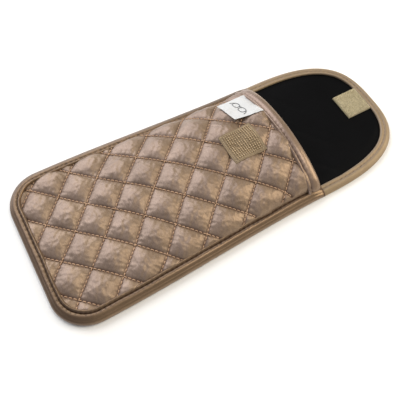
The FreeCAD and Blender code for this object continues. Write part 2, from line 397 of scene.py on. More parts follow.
def cloth_material(name, dark, light, roughness, sheen, metallic=0.0, thread=0.35 * mm,
                   cloud=12 * mm, bump=0.25, depth=0.06 * mm, by_uv=False, specular=0.5,
                   sheen_tint=(1, 1, 1, 1), painted_sheen=None):
    """A woven finish: two colours mixed by its clouds and slubs, with a thread bump. A painted
    sheen tints it by the way it faces, greyer towards the closed end and golden towards the warm
    lamp. Painted shade darkens it where its mesh's seam mask says."""
    material = bpy.data.materials.new(name)
    material.use_nodes = True
    tree = material.node_tree
    place = add(tree, "ShaderNodeTexCoord").outputs["UV" if by_uv else "Object"]
    grain = add(tree, "ShaderNodeGroup", {"Thread Pitch": thread, "Cloud Size": cloud,
                                          "Vector": place}, node_tree=cloth_grain).outputs
    blotches = calc(tree, "MULTIPLY", grain["Cloud"], 0.30)
    blotches = calc(tree, "MULTIPLY_ADD", grain["Weave"], 0.42, blotches)
    blotches = calc(tree, "MULTIPLY_ADD", grain["Slub"], 0.28, blotches)
    spread = add(tree, "ShaderNodeMapRange",
                 {"Value": blotches, "From Min": 0.38, "From Max": 0.62}).outputs["Result"]
    dye_and_painted_sheen = mixed(tree, spread, (*dark, 1), (*light, 1))
    # Painted sheen: the colour is tinted by the way the surface faces, standing in for the satin's sheen under the
    # lamps.
    if painted_sheen:
        facing = add(tree, "ShaderNodeNewGeometry").outputs["Normal"]
        towards = add(tree, "ShaderNodeVectorMath", {0: facing, 1: (0.35, 0.94, 0.0)},
                      operation="DOT_PRODUCT").outputs["Value"]
        share = add(tree, "ShaderNodeMapRange",
                    {"Value": towards, "From Min": -0.30, "From Max": 0.30},
                    interpolation_type="SMOOTHSTEP").outputs["Result"]
        painted_hue = mixed(tree, share, (*painted_sheen[0], 1), (*painted_sheen[1], 1))
        dye_and_painted_sheen = mixed(tree, 1.0, dye_and_painted_sheen, painted_hue, blend_type="MULTIPLY")
    sewn_and_painted_shade = add(tree, "ShaderNodeAttribute", attribute_name="sewn_and_painted_shade").outputs["Fac"]
    # Painted shade: the seam mask darkens the cloth to a red brown in seam grooves, needle holes and tape joints.
    shaded = mixed(tree, sewn_and_painted_shade, dye_and_painted_sheen, (0.34, 0.25, 0.21, 1), blend_type="MULTIPLY")
    rough = add(tree, "ShaderNodeMapRange", {"Value": grain["Weave"], "To Min": roughness * 0.85,
                                             "To Max": min(roughness * 1.2, 1.0)})
    surface = add(tree, "ShaderNodeBump", {"Strength": bump, "Distance": depth,
                                           "Height": grain["Weave"]})
    wire(tree, tree.nodes["Principled BSDF"], {
        "Base Color": shaded, "Metallic": metallic, "Roughness": rough.outputs["Result"],
        "Specular IOR Level": specular, "Sheen Weight": sheen, "Sheen Roughness": 0.35,
        "Sheen Tint": sheen_tint, "Normal": surface.outputs["Normal"]})
    return material


# Painted sheen tints: greyer where the cloth faces the closed end, golden where it faces the warm lamp.
painted_sheen_tints = ((0.99, 1.0, 1.11), (1.03, 1.0, 0.91))
satin = cloth_material("satin", (0.198, 0.139, 0.098), (0.312, 0.224, 0.161), 0.42, 0.20,
                       metallic=0.46, sheen_tint=(0.95, 0.85, 0.80, 1), painted_sheen=painted_sheen_tints)

# The stitch lines cross at a knot, and each cell of the cloth's own grid is a small part
# of a diamond, so the lines run through the grid's points.
cell_x, cell_y = 24.9 * mm, 25.3 * mm
knot_x, knot_y = -26.5 * mm, end_y + 77.7 * mm
grid_per_cell = 24
dx, dy = cell_x / grid_per_cell, cell_y / grid_per_cell
tuck = 4.2 * mm
flange_z = 4.7 * mm
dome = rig.box("front_shell")[1].z - flange_z - 1.2 * mm
dome_round = 0.62
mouth_dip, dip_reach = 0.10, 14 * mm
quilt_thickness = 2.4 * mm
puff, puff_limit, pillow = 2.5 * mm, 3.0 * mm, 2.4


def front_height(x, y):
    """Height of the front panel's stitch lines."""
    wide = side_x(min(y, mouth_y), tuck)
    across = max(1 - (x / wide) ** 2, 0.0) ** dome_round
    along = max((y - end_y - tuck) / (body_length - tuck), 0.0)
    dip = 1 - mouth_dip * np.clip((y - mouth_y + dip_reach) / dip_reach, 0, 1) ** 2
    return flange_z + dome * along ** 0.9 * across * dip


def diamond(x, y):
    """Quilting coordinates: both are whole numbers where stitch lines cross."""
    u, v = (x - knot_x) / cell_x, (y - knot_y) / cell_y
    return u + v, u - v


def compact(quads):
    """The points that quads use, and the quads renumbered to them."""
    used = sorted({k for quad in quads for k in quad})
    number = {k: n for n, k in enumerate(used)}
    return used, [[number[k] for k in quad] for quad in quads]


def cloth_grid(inside):
    """Grid points on the quilting pattern where inside(x, y), and the quads between them."""
    columns = range(math.ceil((-half_end - knot_x) / dx), math.ceil((half_end - knot_x) / dx))
    rows = range(math.ceil((end_y - knot_y) / dy), math.ceil((tip_y - knot_y) / dy))
    spots = [(i, j) for j in rows for i in columns
             if inside(knot_x + i * dx, knot_y + j * dy)]
    index = {spot: k for k, spot in enumerate(spots)}
    quads = []
    for i, j in spots:
        ring = [(i, j), (i + 1, j), (i + 1, j + 1), (i, j + 1)]
        if all(r in index for r in ring):
            quads.append([index[r] for r in ring])
    used, quads = compact(quads)
    return np.array(spots)[used], quads


def open_edges(quads):
    """Directed edges that only one quad uses."""
    seen = {edge for quad in quads for edge in zip(quad, quad[1:] + quad[:1])}
    return [(a, b) for a, b in seen if (b, a) not in seen]


def blow_up(points, quads, pinned):
    """Cloth simulation ten times life size: the cloth grows a little and fills from below."""
    scale, frames, growth = 10.0, 26, 0.012
    cloth = mesh_object("cloth", points * scale, faces=quads)
    group = cloth.vertex_groups.new(name="sewn_and_painted_shade")
    group.add([int(k) for k in np.flatnonzero(pinned)], 1.0, "REPLACE")
    modifier = cloth.modifiers.new("cloth", "CLOTH")
    for key, value in {
        "quality": 6, "mass": 0.15, "tension_stiffness": 18, "compression_stiffness": 18,
        "shear_stiffness": 6, "bending_stiffness": 0.5, "air_damping": 2.5,
        "vertex_group_mass": "sewn_and_painted_shade", "shrink_min": -growth, "shrink_max": -growth,
        "use_pressure": True, "uniform_pressure_force": 2.0,
    }.items():
        setattr(modifier.settings, key, value)
    modifier.settings.effector_weights.gravity = 0.0
    modifier.collision_settings.use_collision = False
    modifier.point_cache.frame_start = 1
    modifier.point_cache.frame_end = frames
    for number in range(1, frames + 1):
        bpy.context.scene.frame_set(number)
    evaluated = cloth.evaluated_get(bpy.context.evaluated_depsgraph_get())
    moved = np.zeros(len(points) * 3, np.float32)
    evaluated.data.vertices.foreach_get("co", moved)
    bpy.context.scene.frame_set(1)
    drop(cloth)
    return moved.reshape(-1, 3) / scale


def quilted(spots, quads, sewn_and_painted_shade_height, outward, seed, rim):
    """Points of a quilted face: pinned on its stitch lines and rim, puffed between them."""
    random = np.random.RandomState(seed)
    points, pinned = [], []
    for i, j in spots:
        x, y = knot_x + i * dx, knot_y + j * dy
        on_line = (i + j) % grid_per_cell == 0 or (i - j) % grid_per_cell == 0
        at_rim = not rim(x, y)
        swell = math.prod(1 - (1 - 2 * abs(v - round(v))) ** pillow for v in diamond(x, y))
        lift = 0.0 if at_rim else puff * swell * (0.8 + 0.3 * random.rand())
        points.append((x, y, sewn_and_painted_shade_height(x, y) + outward * lift))
        pinned.append(on_line or at_rim)
    points = np.array(points)
    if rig.quick():
        return points
    facing = quads if outward > 0 else [quad[::-1] for quad in quads]
    away = blow_up(points, facing, np.array(pinned)) - points
    reach = np.linalg.norm(away, axis=1, keepdims=True)
    return points + away * np.minimum(1.0, puff_limit / np.maximum(reach, 1e-9))


def refined(points, quads):
    """One round of smooth subdivision; the first points are the ones given."""
    coarse = mesh_object("coarse", points, faces=quads)
    modifier = coarse.modifiers.new("smooth", "SUBSURF")
    modifier.levels = 1
    modifier.boundary_smooth = "PRESERVE_CORNERS"
    fine = coarse.evaluated_get(bpy.context.evaluated_depsgraph_get()).data
    found = np.zeros(len(fine.vertices) * 3, np.float32)
    fine.vertices.foreach_get("co", found)
    faces = [list(face.vertices) for face in fine.polygons]
    drop(coarse)
    return found.reshape(-1, 3).astype(float), faces


def puckered(points, seed, outward, rim):
    """Short creases that run out from the stitches, and a groove where the thread pulls in."""
    creases = ((0.5, 2.4 * mm), (0.4, 3.7 * mm), (0.3, 6.1 * mm))
    crease_height, crease_reach, clear = 0.21 * mm, 2.6 * mm, 0.7 * mm
    groove_depth, groove_width = 0.30 * mm, 0.8 * mm
    phases = np.random.RandomState(seed).rand(2, 3, 64) * 2 * math.pi
    across, along = diamond(points[:, 0], points[:, 1])
    side = math.hypot(cell_x, cell_y) / 2
    lift = np.zeros(len(points))
    for n, (value, other) in enumerate(((across, along), (along, across))):
        line = np.round(value).astype(int)
        away = np.abs(value - line) * side
        phase = phases[n][:, line % 64]
        wave = sum(share * np.sin(2 * math.pi * other * side / length + phase[m])
                   for m, (share, length) in enumerate(creases))
        lift += (crease_height * wave * np.exp(-away / crease_reach)
                 * (1 - np.exp(-(away / clear) ** 2)))
        lift -= groove_depth * np.exp(-(away / groove_width) ** 2)
    free = np.array([rim(x, y) for x, y in points[:, :2]])
    nearest = side * np.minimum(np.abs(across - np.round(across)), np.abs(along - np.round(along)))
    moved = points.copy()
    moved[:, 2] += outward * lift * free
    # The mask returned with the points is painted shade along the stitch lines.
    return moved, np.exp(-(nearest / (0.85 * mm)) ** 2) * free


def strayed(points):
    """Hand-guided stitching wanders, so the whole grid strays a little from straight."""
    x, y = points[:, 0], points[:, 1]
    from_side = np.array([side_x(min(v, mouth_y)) - abs(u) for u, v in points[:, :2]])
    reach = 0.55 * mm * np.clip(from_side / (6 * mm) - 1, 0, 1)
    moved = points.copy()
    moved[:, 0] += reach * np.sin(x / (15 * mm) + y / (21 * mm) + 0.4)
    moved[:, 1] += reach * np.sin(x / (19 * mm) - y / (14 * mm) + 2.0)
    return moved


def slab(name, outer, inner, quads, material, sewn_and_painted_shade=None, fine_quads=None):
    """A closed padded sheet between two faces of one grid. Where the outer face has been
    refined, fine_quads are its faces."""
    count = len(outer)
    rim = open_edges(quads)
    if fine_quads is not None:
        following = dict(open_edges(fine_quads))
        rim = [(a, following[a], b) for a, b in rim]
    walls = [[*reversed(edge), edge[0] + count, edge[-1] + count] for edge in rim]
    faces = (fine_quads or quads) + [[k + count for k in quad[::-1]] for quad in quads] + walls
    if sewn_and_painted_shade is not None:
        sewn_and_painted_shade = np.concatenate([sewn_and_painted_shade, np.zeros(len(inner))])
    return new_piece(name, np.concatenate([outer, inner]), faces, material, sewn_and_painted_shade=sewn_and_painted_shade)


front_spots, front_quads = cloth_grid(inner(tuck, 2.0 * mm))
front_outer = quilted(front_spots, front_quads, front_height, 1, 3, inner(5.6 * mm, 6.2 * mm))
front_inner = np.array([(x, y, front_height(x, y) - quilt_thickness * 0.8)
                        for x, y in (knot_x, knot_y) + front_spots * (dx, dy)])
fine_points, fine_quads = refined(front_outer, front_quads)
fine_points, front_seam_shade = puckered(fine_points, 4, 1, inner(6.0 * mm, 7.0 * mm))
front_outer = strayed(front_outer)
front_quilt = slab("front_quilt", strayed(fine_points), strayed(front_inner), front_quads, satin,
                   front_seam_shade, fine_quads)
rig.replaces(front_quilt, "front_shell", "front_padding")
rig.slot(front_quilt, "bronze_satin")
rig.ride(front_quilt, "pouch")
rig.padded(front_quilt, fill=0.6)

# --- Back panel and flap ----------------------------------------------------
# One long piece of the same quilted satin, face down, stitched before it was cut. It
# bends at both folds of the flap, so it is two pieces that meet halfway between them.
back_z = 1.3 * mm
back_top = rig.box("back_lining")[0].z
near_fold = {"start": (0, mouth_y - 1 * mm, 0), "end": (0, halfway_y - 1 * mm, 0)}
far_fold = {"start": (0, halfway_y + 1 * mm, 0),
            "end": (0, 2 * shoulder_y - halfway_y - 1 * mm, 0)}


def back_height(x, y):
    return back_z


back_spots, back_quads = cloth_grid(inner(2.2 * mm))
back_outer = quilted(back_spots, back_quads, back_height, -1, 5, inner(5.6 * mm))
back_outer[:, 2] = np.maximum(back_outer[:, 2], 0.05 * mm)
back_outer, back_seam_shade = puckered(back_outer, 6, -1, inner(6.0 * mm))
back_outer[:, 2] = np.maximum(back_outer[:, 2], 0.03 * mm)
back_inner = back_outer.copy()
back_inner[:, 2] = back_top - 0.05 * mm
split_row = round((halfway_y - knot_y) / dy)
for name, replaced, on_flap, bodies, fold in (
    ("back_quilt", ("back_shell", "back_padding", "flap_root_shell", "flap_root_padding"),
     False, ("pouch", "flap_root"), near_fold),
    ("flap_quilt", ("flap_shell", "flap_padding"), True, ("flap_root", "flap_tip"), far_fold),
):
    used, chosen = compact([quad[::-1] for quad in back_quads
                            if (back_spots[quad[0]][1] >= split_row) == on_flap])
    piece = slab(name, back_outer[used], back_inner[used], chosen, satin, back_seam_shade[used])
    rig.replaces(piece, *replaced)
    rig.slot(piece, "bronze_satin")
    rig.blend(piece, *bodies, **fold)
    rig.padded(piece, fill=0.5)

# --- Side and flap tapes ----------------------------------------------------
# Satin tape folded in half over the raw edges and sewn through. Its inner edge stands up
# in a thin lip, the seam sinks in beside the lip, and the outer edge is rolled.
# Every tape finish takes a painted sheen by the way it faces, the panel's tints unless given.
def tape_cloth(name, dark, light, roughness, metallic, tint, painted_sheen=painted_sheen_tints):
    return cloth_material(name, dark, light, roughness, 0.20, metallic=metallic, cloud=9 * mm,
                          by_uv=True, sheen_tint=(0.95, 0.85, tint, 1), painted_sheen=painted_sheen)


# The side tape's painted sheen is strong painted shade and highlight: darker where it faces the closed end, brighter
# and golden where it faces the warm lamp.
tape_satin = tape_cloth("tape_satin", (0.140, 0.096, 0.063), (0.190, 0.131, 0.088), 0.33, 0.60,
                        0.78, painted_sheen=((0.74, 0.68, 0.66), (1.22, 1.16, 1.00)))
flap_satin = tape_cloth("flap_satin", (0.238, 0.174, 0.106), (0.298, 0.221, 0.138), 0.50, 0.30,
                        0.75)
tape_width = 6.0 * mm
seam_inset = 3.65 * mm
flap_seam_inset = 3.4 * mm
stitch_pitch = 3.1 * mm


def even(line, step=0.8 * mm):
    """Points an even step apart along a line."""
    line = np.array(line, float)
    run = np.concatenate(([0], np.cumsum(np.linalg.norm(np.diff(line, axis=0), axis=1))))
    keep = np.concatenate(([True], np.diff(run) > 1e-9))
    line, run = line[keep], run[keep]
    at = np.linspace(0, run[-1], max(int(run[-1] / step), 2) + 1)
    return np.stack([np.interp(at, run, line[:, 0]), np.interp(at, run, line[:, 1])], axis=1)


def rim_path(y_from):
    """Even points round the closed end, from y_from on the -X side to y_from on the +X side."""
    line = [(-side_x(y), y) for y in np.linspace(y_from, end_y + corner, 200)]
    for side, start in ((-1, 180), (1, 270)):
        for angle in np.radians(np.linspace(start, start + 90, 60)):
            line.append((side * (half_end - corner) + corner * math.cos(angle),
                         end_y + corner + corner * math.sin(angle)))
    return even(line + [(side_x(y), y) for y in np.linspace(end_y + corner, y_from, 200)])


def tongue_path(y_from):
    """Even points round the flap, from y_from on the +X side to y_from on the -X side."""
    line = []
    for angle in np.linspace(0, math.pi, 600):
        x = math.copysign(half_mouth * abs(math.cos(angle)) ** (2 / tongue_power), math.cos(angle))
        y = mouth_y + flap_length * math.sin(angle) ** (2 / tongue_power)
        if y >= y_from:
            line.append((x, y))
    return even([(side_x(y_from), y_from)] + line + [(-side_x(y_from), y_from)])


def leftward(path):
    """Unit directions square to a path, on its left."""
    ahead = np.gradient(path, axis=0)
    ahead /= np.linalg.norm(ahead, axis=1, keepdims=True)
    return np.stack([-ahead[:, 1], ahead[:, 0]], axis=1)


def smooth_profile(knots, count):
    """A Catmull-Rom curve through profile points (distance in from the edge, height)."""
    knots = np.array(knots)
    padded = np.vstack([2 * knots[0] - knots[1], knots, 2 * knots[-1] - knots[-2]])
    at = np.linspace(0, len(knots) - 1, count)
    k = np.minimum(at.astype(int), len(knots) - 2)
    a, b, c, d = (padded[k + n] for n in range(4))
    t = (at - k)[:, None]
    return 0.5 * (2 * b + (c - a) * t + (2 * a - 5 * b + 4 * c - d) * t * t
                  + (3 * b - a - 3 * c + d) * t ** 3)


def folded(knots, thickness=0.45 * mm):
    """A folded tape's section, there and back round its thickness, and the way round it."""
    outer = smooth_profile(knots, 46)
    inner = (outer - leftward(outer) * thickness)[::-1]
    profile = np.vstack([outer, inner])
    girth = np.concatenate(([0], np.cumsum(np.linalg.norm(np.diff(profile, axis=0), axis=1))))
    return profile, girth


def tube(rings, wide):
    """Faces of a tube of rings, each with the same number of points, closed at both ends."""
    faces = [(k * wide + n, k * wide + (n + 1) % wide, (k + 1) * wide + (n + 1) % wide,
              (k + 1) * wide + n) for k in range(rings - 1) for n in range(wide)]
    last = (rings - 1) * wide
    return faces + [tuple(range(wide)), tuple(last + n for n in range(wide))[::-1]]


def soft_noise(count, step, size, random):
    """Smooth random waves along a tape, about 1 high, with the given wavelength."""
    knots = random.randn(int(count * step / size) + 4)
    at = np.arange(count) * step / size
    k = at.astype(int)
    t = at - k
    t = t * t * (3 - 2 * t)
    return knots[k] * (1 - t) + knots[k + 1] * t


def sweep_tape(name, path, knots, material, seed, seam=4.7 * mm, shade=1.0, ends=1.0,
               cut=(0.0, 0.0)):
    """Folded tape along a path on the edge, with puckers at its stitches and soft waves.
    Shade says how dark the painted shade in its seam's groove is. Its height falls to a
    share of itself, ends, over the last few millimetres, and cut says how dark the painted
    shade at the joint at each end is."""
    wave, pucker = 0.12 * mm, 0.18 * mm
    pucker_width, groove_width, joint_width = 1.3 * mm, 0.5 * mm, 0.5 * mm
    calm, fall = 5 * mm, 7 * mm
    random = np.random.RandomState(seed)
    count = len(path)
    step = float(np.linalg.norm(path[1] - path[0]))
    inward = leftward(path)
    profile, girth = folded(knots)
    from_seam = np.abs(profile[:, 0] - seam)
    near = np.exp(-(from_seam / pucker_width) ** 2)
    groove = shade * np.exp(-(from_seam / groove_width) ** 2)
    on_top = profile[:, 1] > profile[:, 1].mean()
    run = np.arange(count) * step
    beat = 0.5 - 0.5 * np.cos(2 * math.pi * run / stitch_pitch)
    slow = soft_noise(count, step, 9 * mm, random)
    quick = soft_noise(count, step, 2.6 * mm, random)
    lean = soft_noise(count, step, 14 * mm, random)
    points, uv, sewn_and_painted_shade = [], [], []
    for k in range(count):
        # Painted shade in the seam's groove, darkest at the needle holes, and at the joints at the ends.
        joint = max(cut[0] * math.exp(-(run[k] / joint_width) ** 2),
                    cut[1] * math.exp(-((run[-1] - run[k]) / joint_width) ** 2))
        sewn_and_painted_shade += list(np.maximum(groove * (1.0 - 0.45 * beat[k]), joint))
        from_end = min(run[k], run[-1] - run[k])
        loose = min(from_end / calm, 1.0)
        lift = loose * (pucker * near * (beat[k] - 0.5)
                        + wave * (0.5 * slow[k] + 0.45 * quick[k]) * (0.3 + near))
        d = profile[:, 0] + wave * lean[k] * 0.9 * (profile[:, 0] / tape_width) * loose
        z = profile[:, 1] + np.where(on_top, lift, -0.3 * lift)
        z = z * (ends + (1 - ends) * math.sin(min(from_end / fall, 1.0) * math.pi / 2))
        place = path[k] + np.outer(d, inward[k])
        points += [(x, y, max(h, 0.02 * mm)) for (x, y), h in zip(place, z)]
        uv += [(run[k], along) for along in girth]
    return new_piece(name, points, tube(count, len(profile)), material, uv, sewn_and_painted_shade)


side_profile = [(d * mm, z * mm) for d, z in (
    (6.0, 4.8), (6.3, 5.8), (6.1, 6.55), (5.75, 6.75), (5.4, 6.3), (4.75, 5.45), (4.1, 5.6),
    (3.1, 5.75), (2.1, 5.25), (1.45, 4.55), (0.95, 4.35), (0.35, 3.75), (0.0, 2.9), (0.0, 1.7),
    (0.35, 0.7), (1.1, 0.15), (2.4, 0.0), (3.8, 0.05), (4.75, 0.3), (5.6, 0.0), (6.0, 0.5))]
flap_profile = [(d * mm, z * mm) for d, z in (
    (5.15, 2.9), (5.35, 3.5), (5.05, 3.95), (4.5, 3.9), (3.9, 3.6), (3.4, 3.4), (2.9, 3.6),
    (2.2, 3.75), (1.4, 3.35), (0.6, 2.7), (0.05, 2.0), (0.05, 1.2), (0.5, 0.4), (1.4, 0.05),
    (2.5, 0.0), (3.4, 0.3), (4.5, 0.0), (5.2, 0.4))]
side_tape = sweep_tape("side_tape", rim_path(mouth_y + 0.6 * mm), side_profile, tape_satin, 11,
                       ends=0.72, cut=(1.0, 1.0))
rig.replaces(side_tape, "side_binding")
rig.slot(side_tape, "satin_tape")
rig.ride(side_tape, "pouch")

tongue = tongue_path(mouth_y + 0.8 * mm)
on_tip = np.flatnonzero(tongue[:, 1] > halfway_y - 0.4 * mm)
first, last = on_tip[0], on_tip[-1]
flap_tape = sweep_tape("flap_tape", tongue[first:last + 1], flap_profile, flap_satin, 13,
                       seam=flap_seam_inset, shade=0.4)
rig.replaces(flap_tape, "flap_binding")
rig.slot(flap_tape, "satin_tape")
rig.blend(flap_tape, "flap_root", "flap_tip", **far_fold)
for name, stretch, cut, seed in (("fold_tape_right", tongue[:first + 2], (1.0, 0.0), 14),
                                 ("fold_tape_left", tongue[last - 1:], (0.5, 1.0), 15)):
    piece = sweep_tape(name, stretch, flap_profile, flap_satin, seed, seam=flap_seam_inset,
                       shade=0.4, cut=cut)
    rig.replaces(piece, "flap_root_binding")
    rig.slot(piece, "satin_tape")
    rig.blend(piece, "pouch", "flap_root", **near_fold)

# --- Mouth tape -------------------------------------------------------------
# The same tape over the front panel's free edge, arched from corner to corner, with a
# soft folded edge, a seam near its inner side and a lip behind the seam.
mouth_satin = tape_cloth("mouth_satin", (0.225, 0.157, 0.112), (0.285, 0.202, 0.146), 0.34,
                         0.50, 0.80)
mouth_profile = [(d * mm, z * mm) for d, z in (
    (8.3, 0.0), (8.6, 0.8), (8.35, 1.5), (7.9, 1.7), (7.5, 1.3), (6.7, 0.45), (5.7, 0.75),
    (4.3, 1.15), (2.6, 1.2), (1.2, 0.85), (0.2, 0.1), (0.0, -0.9), (0.3, -1.9), (1.4, -2.5),
    (3.5, -2.7), (6.0, -2.7), (7.6, -2.4))]
mouth_seam_inset = 6.7 * mm
arch_y = mouth_y - 3 * mm


def mouth_share(x):
    """The tape is pulled over the edge more in the middle, so it shows narrower there."""
    return 0.80 + 0.20 * min(abs(x) / half_mouth, 1.0) ** 1.6


# The arch is the mouth's edge, as even points in x and z.
arch_reach = side_x(mouth_y, 3.4 * mm)
arch = even([(x, front_height(x, arch_y)) for x in np.linspace(-arch_reach, arch_reach, 900)],
            0.5 * mm)
arch_up = leftward(arch)
arch_step = float(np.linalg.norm(arch[1] - arch[0]))
arch_run = np.arange(len(arch)) * arch_step
beat = 0.5 - 0.5 * np.cos(2 * math.pi * arch_run / stitch_pitch)
random = np.random.RandomState(17)
waves = 0.6 * soft_noise(len(arch), arch_step, 10 * mm, random)
waves += 0.4 * soft_noise(len(arch), arch_step, 3 * mm, random)
profile, girth = folded(mouth_profile)
from_seam = profile[:, 0] - mouth_seam_inset
near = np.exp(-(from_seam / (1.4 * mm)) ** 2)
# Painted shade along the mouth seam's groove, darkest at the needle holes.
groove = np.exp(-(from_seam / (0.75 * mm)) ** 2)
points, uv, sewn_and_painted_shade = [], [], []
for k, (x, z) in enumerate(arch):
    sewn_and_painted_shade += list(groove * (1.0 - 0.45 * beat[k]))
    lift = 0.16 * mm * near * (beat[k] - 0.5) + 0.13 * mm * waves[k]
    rise = profile[:, 1] + np.where(profile[:, 1] > -0.5 * mm, lift, 0)
    for inset, up, along in zip(profile[:, 0], rise, girth):
        y = mouth_y - inset * mouth_share(x)
        fall = 0.9 * (front_height(x, y) - front_height(x, arch_y))
        points.append((x + arch_up[k, 0] * up, y, max(z + fall + arch_up[k, 1] * up, 3.3 * mm)))
        uv.append((arch_run[k], along))
mouth_tape = new_piece("mouth_tape", points, tube(len(arch), len(profile)), mouth_satin, uv, sewn_and_painted_shade)
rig.replaces(mouth_tape, "mouth_binding")
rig.slot(mouth_tape, "satin_tape")
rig.ride(mouth_tape, "pouch")

# --- Seam thread ------------------------------------------------------------
# Spun polyester thread, lock-stitched. Each stitch is a short arc that dives into the
# cloth at both ends, laid end to end along its seam.
dark_thread = cloth_material("dark_thread", (0.022, 0.014, 0.010), (0.055, 0.036, 0.026), 0.6, 0.2,
                             thread=0.15 * mm)
brown_thread = cloth_material("brown_thread", (0.070, 0.044, 0.026), (0.130, 0.084, 0.050), 0.55,
                              0.1, thread=0.15 * mm)
tan_thread = cloth_material("tan_thread", (0.330, 0.195, 0.112), (0.520, 0.340, 0.215), 0.55, 0.1,
                            thread=0.15 * mm)


def strand_tree(name, sizes):
    """A group that grows strands, from these sizes, a seed and a finish."""
    takes = {"Geometry": "Geometry", **dict.fromkeys(sizes, "Float"), "Seed": "Int",
             "Finish": "Material"}
    return new_group(name, "GeometryNodeTree", takes, {"Geometry": "Geometry"})


def knot_at(tree, width, across, height, up):
    """A point at a share of the width sideways and a share of the height upwards."""
    return add(tree, "ShaderNodeCombineXYZ", {"X": calc(tree, "MULTIPLY", width, across),
                                              "Z": calc(tree, "MULTIPLY", height, up)}).outputs[0]


def strand_on(tree, given, points, curve, radius, sides, rotation, vary):
    """Puts a round strand that follows the curve on every point, varied in size."""
    ring = add(tree, "GeometryNodeCurvePrimitiveCircle", {"Resolution": sides, "Radius": radius})
    strand = add(tree, "GeometryNodeCurveToMesh", {
        "Curve": curve, "Profile Curve": ring.outputs["Curve"], "Fill Caps": True})
    size = add(tree, "FunctionNodeRandomValue", {2: vary[0], 3: vary[1], "Seed": given["Seed"]},
               data_type="FLOAT")
    laid = add(tree, "GeometryNodeInstanceOnPoints", {
        "Points": points, "Instance": strand.outputs["Mesh"], "Rotation": rotation,
        "Scale": size.outputs[1]})
    real = add(tree, "GeometryNodeRealizeInstances", {"Geometry": laid.outputs["Instances"]})
    smooth = add(tree, "GeometryNodeSetShadeSmooth", {"Geometry": real.outputs["Geometry"]})
    coloured = add(tree, "GeometryNodeSetMaterial", {
        "Geometry": smooth.outputs["Geometry"], "Material": given["Finish"]})
    add(tree, "NodeGroupOutput", {"Geometry": coloured.outputs["Geometry"]})


def way_up(tree):
    return add(tree, "GeometryNodeInputNamedAttribute", {"Name": "up"},
               data_type="FLOAT_VECTOR").outputs[0]


def stitch_tree():
    """Stitches at an even pitch along the mesh edges given, stood off by the 'up' attribute."""
    tree, given = strand_tree("stitches", ("Pitch", "Stitch Length", "Thread Radius", "Height"))
    seam = add(tree, "GeometryNodeMeshToCurve", {"Mesh": given["Geometry"]})
    spaced = add(tree, "GeometryNodeResampleCurve", {
        "Curve": seam.outputs["Curve"], "Length": given["Pitch"]}, mode="LENGTH")
    start, middle, end = [
        knot_at(tree, given["Stitch Length"], across, given["Height"], up)
        for across, up in ((-0.5, -0.9), (0.0, 1.6), (0.5, -0.9))]
    arc = add(tree, "GeometryNodeCurveQuadraticBezier", {
        "Resolution": 5, "Start": start, "Middle": middle, "End": end})
    heading = add(tree, "GeometryNodeInputTangent").outputs[0]
    ahead = add(tree, "FunctionNodeAlignRotationToVector", {"Vector": heading}, axis="X")
    upward = add(tree, "FunctionNodeAlignRotationToVector", {
        "Rotation": ahead.outputs["Rotation"], "Vector": way_up(tree)}, axis="Z", pivot_axis="X")
    strand_on(tree, given, spaced.outputs["Curve"], arc.outputs["Curve"], given["Thread Radius"],
              6, upward.outputs["Rotation"], (0.86, 1.12))
    return tree


stitches = stitch_tree()


def grown(name, points, edges, ups, tree, **values):
    """Runs a node tree on points or lines, given with the directions that stand out of the
    cloth, and keeps what grows as a plain piece."""
    source = mesh_object("guide", points, edges)
    attribute = source.data.attributes.new("up", "FLOAT_VECTOR", "POINT")
    attribute.data.foreach_set("vector", np.array(ups, np.float32).ravel())
    modifier = source.modifiers.new("grow", "NODES")
    modifier.node_group = tree
    for item in tree.interface.items_tree:
        key = item.name.replace(" ", "_").lower()
        if item.item_type == "SOCKET" and item.in_out == "INPUT" and key in values:
            modifier[item.identifier] = values[key]
    evaluated = source.evaluated_get(bpy.context.evaluated_depsgraph_get())
    mesh = bpy.data.meshes.new_from_object(evaluated)
    mesh.name = name
    drop(source)
    return placed(name, mesh)


def sew(name, lines, ups, thread, seed, pitch=3.1 * mm, length=2.3 * mm, radius=0.24 * mm,
        height=0.2 * mm):
    """Stitches along polylines; ups are their directions out of the cloth."""
    points, edges, out = [], [], []
    for line, up in zip(lines, ups):
        edges += [(len(points) + k, len(points) + k + 1) for k in range(len(line) - 1)]
        points += list(line)
        out += list(up)
    return grown(name, points, edges, out, stitches, pitch=pitch, stitch_length=length,
                 thread_radius=radius, height=height, seed=seed, finish=thread)


def upright(line, sign=1.0):
    return [(0, 0, sign)] * len(line)


def inset_line(path, inset, z):
    return np.column_stack([path + inset * leftward(path), np.full(len(path), z)])


seam_path = rim_path(mouth_y - 3 * mm)
rim_top = inset_line(seam_path, seam_inset, 5.9 * mm)
rim_under = inset_line(seam_path, seam_inset, 0.36 * mm)
side_seam = sew("side_seam", [rim_top, rim_under], [upright(rim_top), upright(rim_under, -1)],
                dark_thread, 21, pitch=2.7 * mm, length=1.7 * mm)
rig.replaces(side_seam, "side_stitching")
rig.slot(side_seam, "brown_thread")
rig.ride(side_seam, "pouch")

